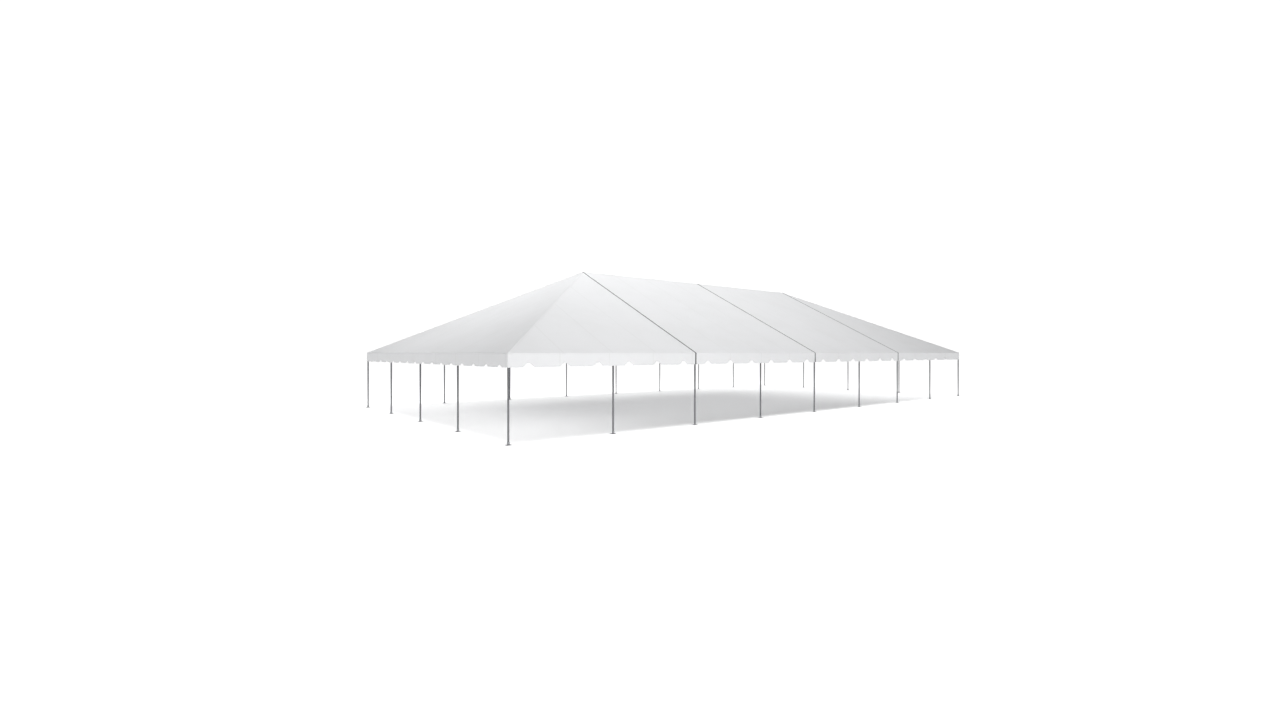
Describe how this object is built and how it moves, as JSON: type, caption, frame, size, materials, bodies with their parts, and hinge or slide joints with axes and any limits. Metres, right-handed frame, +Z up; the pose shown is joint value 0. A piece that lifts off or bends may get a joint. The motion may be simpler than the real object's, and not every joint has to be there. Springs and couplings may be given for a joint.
{
  "type": "hip-ended frame tent marquee",
  "caption": "Hip-ended white frame tent: scalloped vinyl top on an aluminium tube frame of legs, eave rails, rafters, hips and a ridge, open on all sides.",
  "frame": {"origin": "middle of the tent's footprint, on the ground under the base plates", "axes": "+X along the ridge towards the right end, +Y from the front side to the back side, +Z up"},
  "size_m": [24.536, 12.344, 5.2437],
  "materials": {
    "leg_tube": "satin anodised tube",
    "frame_tube": "satin anodised tube",
    "white_vinyl": "smooth coated vinyl cloth",
    "flap_vinyl": "grey webbing and coated cloth"
  },
  "bodies": {
    "root": {"canopy_left_end": "white_vinyl", "canopy_middle_left": "white_vinyl", "canopy_middle_right": "white_vinyl", "canopy_right_end": "white_vinyl", "eave_rail_back": "frame_tube", "eave_rail_front": "frame_tube", "eave_rail_left": "frame_tube", "eave_rail_right": "frame_tube", "end_rafter_left": "frame_tube", "end_rafter_right": "frame_tube", "hip_rafter_left_back": "frame_tube", "hip_rafter_left_front": "frame_tube", "hip_rafter_right_back": "frame_tube", "hip_rafter_right_front": "frame_tube", "jack_rafter_left_back_end": "frame_tube", "jack_rafter_left_back_side": "frame_tube", "jack_rafter_left_front_end": "frame_tube", "jack_rafter_left_front_side": "frame_tube", "jack_rafter_right_back_end": "frame_tube", "jack_rafter_right_back_side": "frame_tube", "jack_rafter_right_front_end": "frame_tube", "jack_rafter_right_front_side": "frame_tube", "lacing_flap_left": "flap_vinyl", "lacing_flap_middle": "flap_vinyl", "lacing_flap_right": "flap_vinyl", "leg_back_1": "leg_tube", "leg_back_2": "leg_tube", "leg_back_3": "leg_tube", "leg_back_4": "leg_tube", "leg_back_5": "leg_tube", "leg_back_6": "leg_tube", "leg_back_7": "leg_tube", "leg_back_8": "leg_tube", "leg_back_9": "leg_tube", "leg_front_1": "leg_tube", "leg_front_2": "leg_tube", "leg_front_3": "leg_tube", "leg_front_4": "leg_tube", "leg_front_5": "leg_tube", "leg_front_6": "leg_tube", "leg_front_7": "leg_tube", "leg_front_8": "leg_tube", "leg_front_9": "leg_tube", "leg_left_1": "leg_tube", "leg_left_2": "leg_tube", "leg_left_3": "leg_tube", "leg_right_1": "leg_tube", "leg_right_2": "leg_tube", "leg_right_3": "leg_tube", "rafter_back_1": "frame_tube", "rafter_back_2": "frame_tube", "rafter_back_3": "frame_tube", "rafter_back_4": "frame_tube", "rafter_back_5": "frame_tube", "rafter_front_1": "frame_tube", "rafter_front_2": "frame_tube", "rafter_front_3": "frame_tube", "rafter_front_4": "frame_tube", "rafter_front_5": "frame_tube", "ridge_beam": "frame_tube"}
  },
  "joints": []
}
